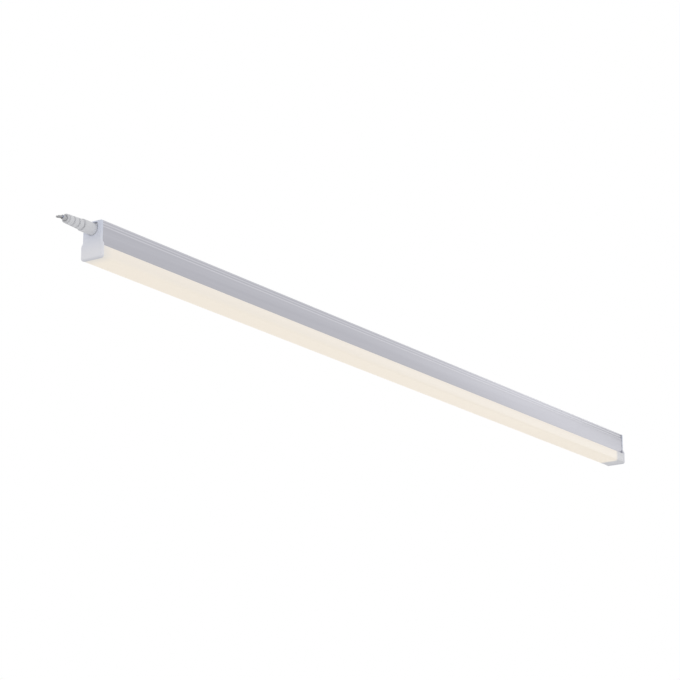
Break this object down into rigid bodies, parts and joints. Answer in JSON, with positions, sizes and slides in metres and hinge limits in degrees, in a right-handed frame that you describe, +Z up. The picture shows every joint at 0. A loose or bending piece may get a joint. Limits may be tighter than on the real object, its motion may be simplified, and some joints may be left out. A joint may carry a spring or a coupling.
{
  "type": "linear ceiling light",
  "caption": "Slim linear ceiling light: aluminium housing, opal diffuser, stepped end caps, pull-out plug with ribbed strain relief, and spring clips in the top channel.",
  "frame": {"origin": "on the ceiling plane, midway between the screw holes of the two clips", "axes": "+X along the light from the plug end to the far end, +Y across it, +Z up, away from the lit side"},
  "size_m": [0.92, 0.0222, 0.0332],
  "materials": {
    "housing": "fine satin anodised extrusion",
    "diffuser": "opal, lit from inside",
    "circuit_board_white": "white solder mask on aluminium",
    "led_chips": "phosphor gel in white frames",
    "end_caps": "moulded, satin",
    "contact_blocks": "moulded",
    "contacts": "bright",
    "plug_mouldings": "soft moulded, matt",
    "lead_sheath": "matt",
    "lead_cores": "insulation",
    "ferrules": "tinned, dull",
    "insulating_film": "translucent film",
    "circuit_board": "green solder mask",
    "fuse_resistor": "lacquered, with colour bands",
    "varistor": "dipped lacquer",
    "film_capacitor": "moulded box",
    "black_mouldings": "moulded",
    "ferrite": "sintered ferrite",
    "copper_windings": "enamelled copper",
    "capacitor_cans": "shrink sleeve",
    "wires": "insulation",
    "wire_live": "insulation",
    "wire_neutral": "insulation",
    "clips": "spring steel, zinc plated"
  },
  "bodies": {
    "light": {"housing": "housing", "diffuser": "diffuser", "led_board": "circuit_board_white", "led_chips": "led_chips", "near_end_cap": "end_caps", "far_end_cap": "end_caps", "inlet_block": "contact_blocks", "inlet_pins": "contacts", "outlet_block": "contact_blocks", "outlet_sockets": "contacts", "driver_sleeve": "insulating_film", "driver_board": "circuit_board", "fuse_resistor": "fuse_resistor", "varistor": "varistor", "film_capacitor": "film_capacitor", "bridge_rectifier": "black_mouldings", "choke_core": "ferrite", "choke_winding": "copper_windings", "bulk_capacitor": "capacitor_cans", "inductor_core": "ferrite", "inductor_winding": "copper_windings", "driver_chip": "black_mouldings", "output_diode": "black_mouldings", "output_capacitor": "capacitor_cans", "feed_wires": "wires", "link_wire_live": "wire_live", "link_wire_neutral": "wire_neutral", "led_wires": "wires"},
    "plug": {"plug_insert": "plug_mouldings", "plug_sockets": "contacts", "plug_body": "plug_mouldings", "lead_sheath": "lead_sheath", "lead_cores": "lead_cores", "core_ferrules": "ferrules"},
    "cover": {"blanking_cover": "end_caps"},
    "near_clip": {"clip_near": "clips"},
    "far_clip": {"clip_far": "clips"}
  },
  "joints": [
    {"name": "plug_pull", "type": "slide", "parent": "light", "child": "plug", "axis": [-1, 0, 0], "range_m": [0, 0.03]},
    {"name": "cover_pull", "type": "slide", "parent": "light", "child": "cover", "axis": [1, 0, 0], "range_m": [0, 0.012]},
    {"name": "clip_near_slide", "type": "slide", "parent": "light", "child": "near_clip", "axis": [1, 0, 0], "range_m": [-0.13, 0.265]},
    {"name": "clip_far_slide", "type": "slide", "parent": "light", "child": "far_clip", "axis": [1, 0, 0], "range_m": [-0.265, 0.13]}
  ]
}
